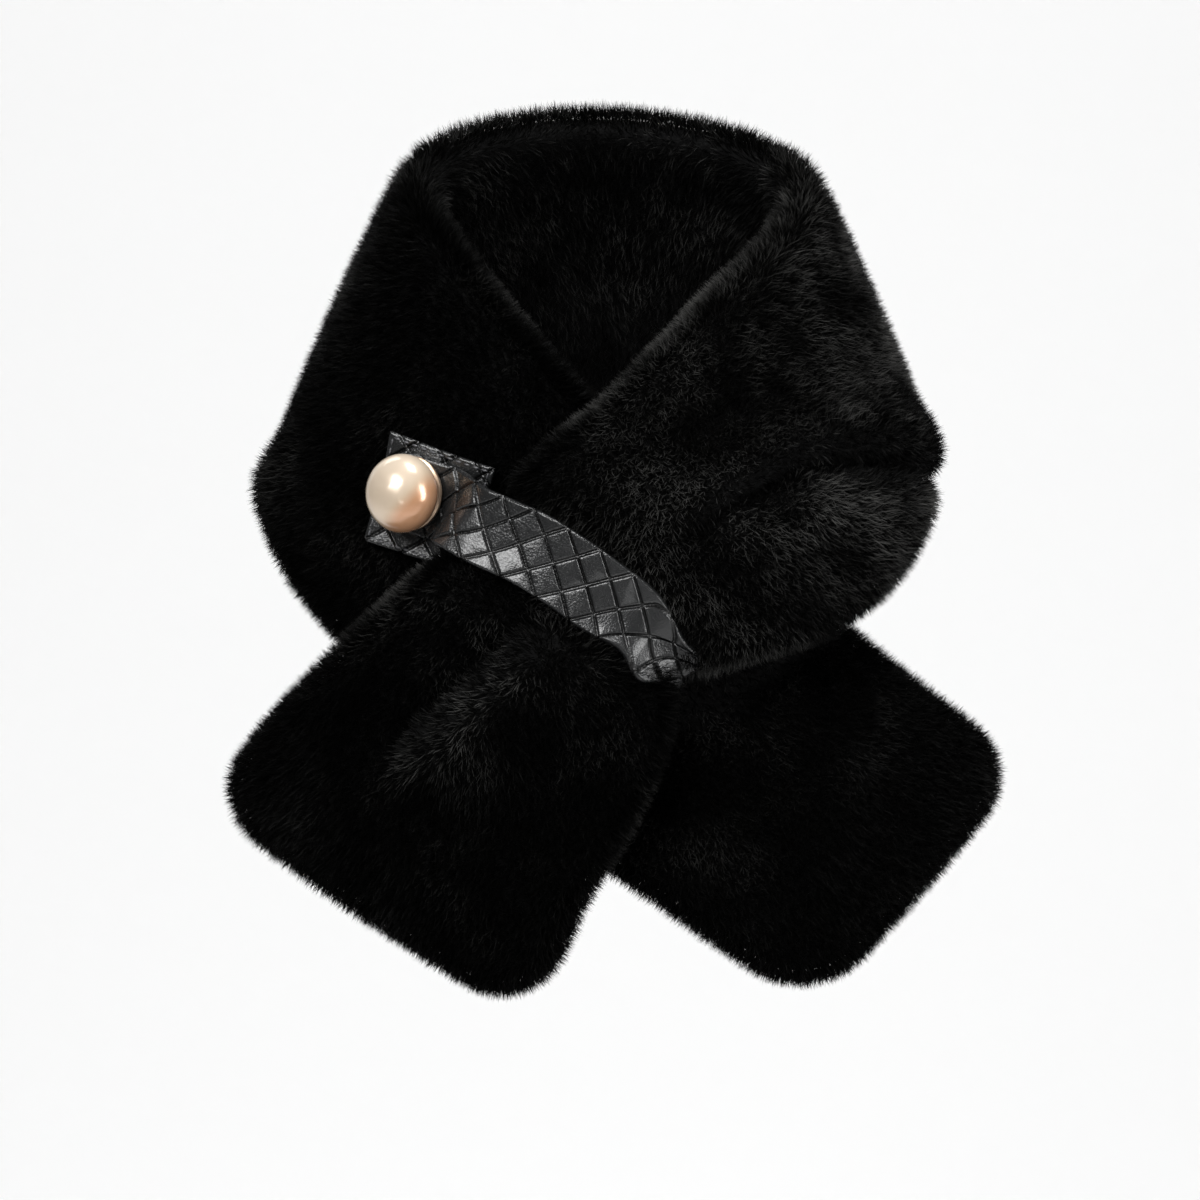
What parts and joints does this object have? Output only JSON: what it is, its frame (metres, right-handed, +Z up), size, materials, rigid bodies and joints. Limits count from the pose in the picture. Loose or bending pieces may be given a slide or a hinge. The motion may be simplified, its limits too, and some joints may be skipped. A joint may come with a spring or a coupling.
{
  "type": "fur collar wrap",
  "caption": "Plush fur collar wrap worn round the neck, ends crossed in front and held by an embossed leather strap with a pearl button on a leather patch.",
  "frame": {"origin": "on the neck's axis, at the height of the neck's root, where the wrap is held by the wearer's neck and shoulders", "axes": "+Z up along the neck, the wearer faces -Y, +X towards the wearer's left"},
  "size_m": [0.275, 0.2568, 0.2704],
  "materials": {
    "fur": "dense short plush pile, black with grey glints",
    "leather": "semi-gloss, embossed with a diagonal lattice",
    "metal": "polished warm plating",
    "pearl": "warm ivory pearl lustre"
  },
  "bodies": {
    "root": {"under_tail": "fur", "right_side": "fur", "nape": "fur", "left_side": "fur", "over_tail": "fur", "patch": "leather", "strap": "leather", "pearl_base": "metal", "pearl": "pearl"}
  },
  "joints": []
}
